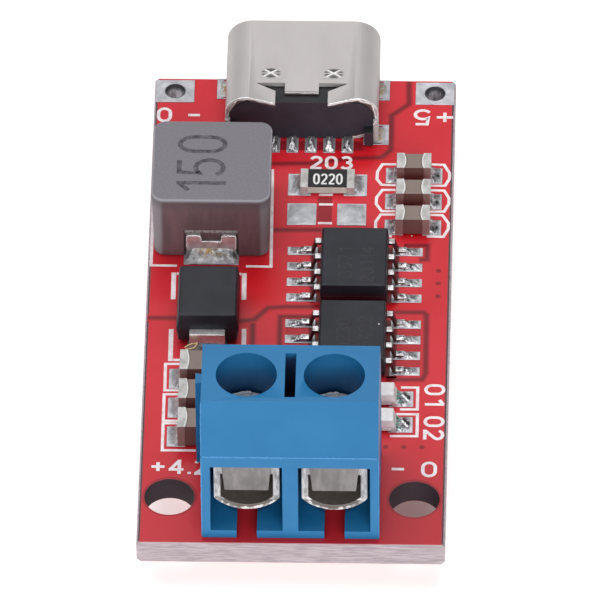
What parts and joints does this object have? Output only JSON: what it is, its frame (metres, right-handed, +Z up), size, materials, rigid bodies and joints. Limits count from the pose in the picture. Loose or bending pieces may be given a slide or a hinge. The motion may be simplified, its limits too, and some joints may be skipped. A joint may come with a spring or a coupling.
{
  "type": "battery charger module",
  "caption": "Red circuit board with a USB-C socket, a power inductor, chips, indicator lamps and a blue screw terminal whose clamp cages rise as their screws turn.",
  "frame": {"origin": "midway between the two mounting holes, on the underside of the board", "axes": "+X to the right seen from the terminal, +Y along the board from the screw terminal to the USB-C socket, +Z up out of the board's component face"},
  "size_m": [0.0176, 0.0394, 0.0135],
  "materials": {
    "board_laminate": "red solder mask over glass laminate",
    "tinned_copper": "matte tinned copper",
    "solder": "bright solder",
    "shell_steel": "nickel-plated sheet",
    "socket_moulding": "black moulding",
    "contact_bronze": "gold-flashed strip",
    "powder_iron": "pressed grey powder",
    "chip_moulding": "dark moulding compound",
    "white_ceramic": "alumina",
    "glass_coat": "black glass coat",
    "end_tin": "tinned end",
    "brown_ceramic": "fired brown ceramic",
    "lamp_carrier": "white carrier plate",
    "lamp_resin": "milky resin",
    "blue_housing": "blue moulded nylon",
    "strip_metal": "tinned brass strip",
    "cage_steel": "zinc-plated sheet",
    "screw_steel": "zinc-plated steel"
  },
  "bodies": {
    "module": {"circuit_board": "board_laminate", "solder_lands": "tinned_copper", "solder_joints": "solder", "underside_solder": "solder", "usb_shell": "shell_steel", "usb_insert": "socket_moulding", "usb_contacts": "contact_bronze", "inductor_core": "powder_iron", "inductor_clip_front": "tinned_copper", "inductor_clip_rear": "tinned_copper", "diode_body": "chip_moulding", "diode_lead_front": "tinned_copper", "diode_lead_rear": "tinned_copper", "driver_chip_body": "chip_moulding", "driver_chip_leads": "tinned_copper", "control_chip_body": "chip_moulding", "control_chip_leads": "tinned_copper", "sense_resistor_ceramic": "white_ceramic", "sense_resistor_coat": "glass_coat", "sense_resistor_ends": "end_tin", "input_capacitor_1_body": "brown_ceramic", "input_capacitor_1_ends": "end_tin", "input_capacitor_2_body": "brown_ceramic", "input_capacitor_2_ends": "end_tin", "input_capacitor_3_body": "brown_ceramic", "input_capacitor_3_ends": "end_tin", "output_capacitor_1_body": "brown_ceramic", "output_capacitor_1_ends": "end_tin", "output_capacitor_2_body": "brown_ceramic", "output_capacitor_2_ends": "end_tin", "output_capacitor_3_body": "brown_ceramic", "output_capacitor_3_ends": "end_tin", "lamp_1_base": "lamp_carrier", "lamp_1_ends": "end_tin", "lamp_1_lens": "lamp_resin", "lamp_2_base": "lamp_carrier", "lamp_2_ends": "end_tin", "lamp_2_lens": "lamp_resin", "bias_resistor_ceramics": "white_ceramic", "bias_resistor_coats": "glass_coat", "bias_resistor_ends": "end_tin", "terminal_housing": "blue_housing", "contact_strip_left": "strip_metal", "contact_strip_right": "strip_metal"},
    "left_screw": {"clamp_screw_left": "screw_steel"},
    "left_cage": {"clamp_cage_left": "cage_steel"},
    "right_screw": {"clamp_screw_right": "screw_steel"},
    "right_cage": {"clamp_cage_right": "cage_steel"}
  },
  "joints": [
    {"name": "left_screw_turn", "type": "hinge", "parent": "module", "child": "left_screw", "pos_m": [-0.0025, -0.00002, 0.0077], "axis": [0, 0, -1], "range_deg": [-130, 746]},
    {"name": "left_cage_lift", "type": "slide", "parent": "module", "child": "left_cage", "axis": [0, 0, 1], "range_m": [-0.00016, 0.00093]},
    {"name": "right_screw_turn", "type": "hinge", "parent": "module", "child": "right_screw", "pos_m": [0.0025, -0.00002, 0.0077], "axis": [0, 0, -1], "range_deg": [-130, 746]},
    {"name": "right_cage_lift", "type": "slide", "parent": "module", "child": "right_cage", "axis": [0, 0, 1], "range_m": [-0.00016, 0.00093]}
  ],
  "couplings": [
    {"joint": "left_screw_turn", "follows": "left_cage_lift", "rad_per_m": 13963},
    {"joint": "right_screw_turn", "follows": "right_cage_lift", "rad_per_m": 13963}
  ]
}
